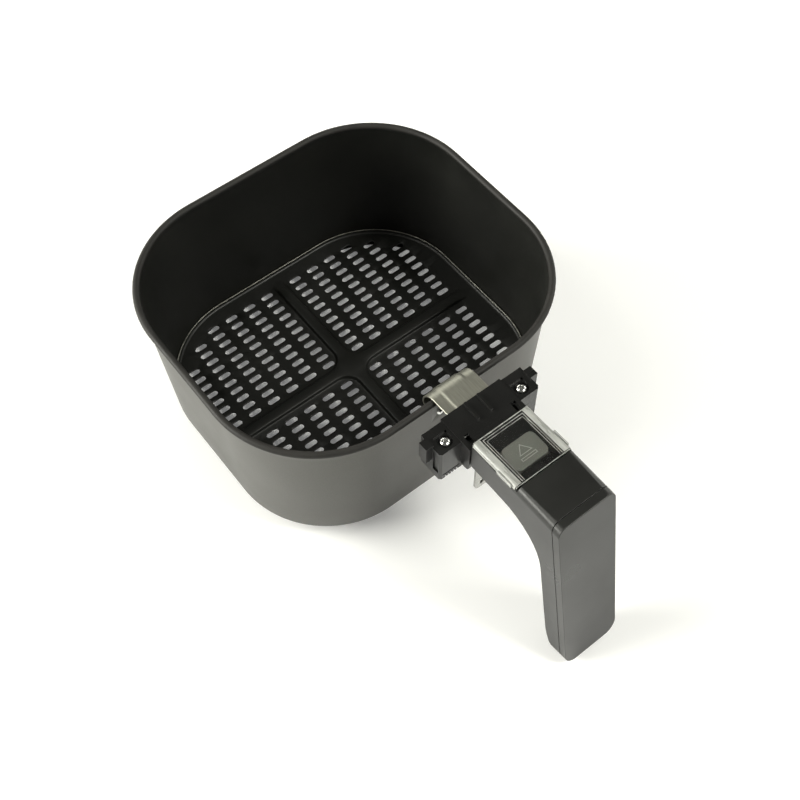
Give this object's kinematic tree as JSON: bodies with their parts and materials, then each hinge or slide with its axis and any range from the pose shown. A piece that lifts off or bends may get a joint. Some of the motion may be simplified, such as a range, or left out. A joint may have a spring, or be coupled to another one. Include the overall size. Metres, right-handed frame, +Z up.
{
  "type": "air fryer basket",
  "caption": "Square air fryer basket with a slotted floor, a steel strap over its rim, and a downturned handle with a guarded release button.",
  "frame": {"origin": "centre of the bounding box at the level of the table that the basket and its handle stand on", "axes": "+Z up; +Y from the handle towards the basket; +X across the basket. The basket stands on the end of its handle and the far edge of its foot, so its own axes lean 3.2 degrees about X."},
  "size_m": [0.23, 0.3488, 0.138],
  "materials": {
    "bronze_enamel": "satin metallic bronze enamel outside, black non-stick inside",
    "nonstick_black": "satin black non-stick coating",
    "satin_steel": "satin steel with a warm grey tone",
    "bright_steel": "bright nickel-plated steel",
    "matte_black": "fine matte moulded black",
    "gloss_black": "semi-gloss moulded black",
    "button_grey": "satin moulded grey",
    "clear_plastic": "clear polished plastic"
  },
  "bodies": {
    "basket": {"basket_body": "bronze_enamel", "basket_floor": "nonstick_black", "rim_strap": "satin_steel", "strap_rivet_left": "bright_steel", "strap_rivet_right": "bright_steel", "handle_base": "matte_black", "base_screw_left": "bright_steel", "base_screw_right": "bright_steel", "handle_body": "gloss_black", "grip_cap": "gloss_black", "arm_screw_left": "bright_steel", "arm_screw_right": "bright_steel", "cap_screw_upper": "bright_steel", "cap_screw_lower": "bright_steel", "button_tray": "matte_black", "button_spring": "bright_steel", "latch_pin": "bright_steel", "latch_spring": "bright_steel"},
    "guard": {"slide_cover": "clear_plastic"},
    "button": {"release_button": "button_grey"},
    "latch": {"latch_lever": "satin_steel"}
  },
  "joints": [
    {"name": "guard_slide", "type": "slide", "parent": "basket", "child": "guard", "axis": [0, 0.9942, -0.1074], "range_m": [0, 0.025]},
    {"name": "button_press", "type": "slide", "parent": "basket", "child": "button", "axis": [0, -0.0562, -0.9984], "range_m": [0, 0.002], "stiffness_N_per_m": 800, "springref_m": -0.003, "deforming": ["button_spring"]},
    {"name": "latch_turn", "type": "hinge", "parent": "basket", "child": "latch", "pos_m": [0, -0.06886, 0.10481], "axis": [1, 0, 0], "range_deg": [0, 6]}
  ],
  "couplings": [
    {"joint": "latch_turn", "follows": "button_press", "rad_per_m": 45}
  ]
}
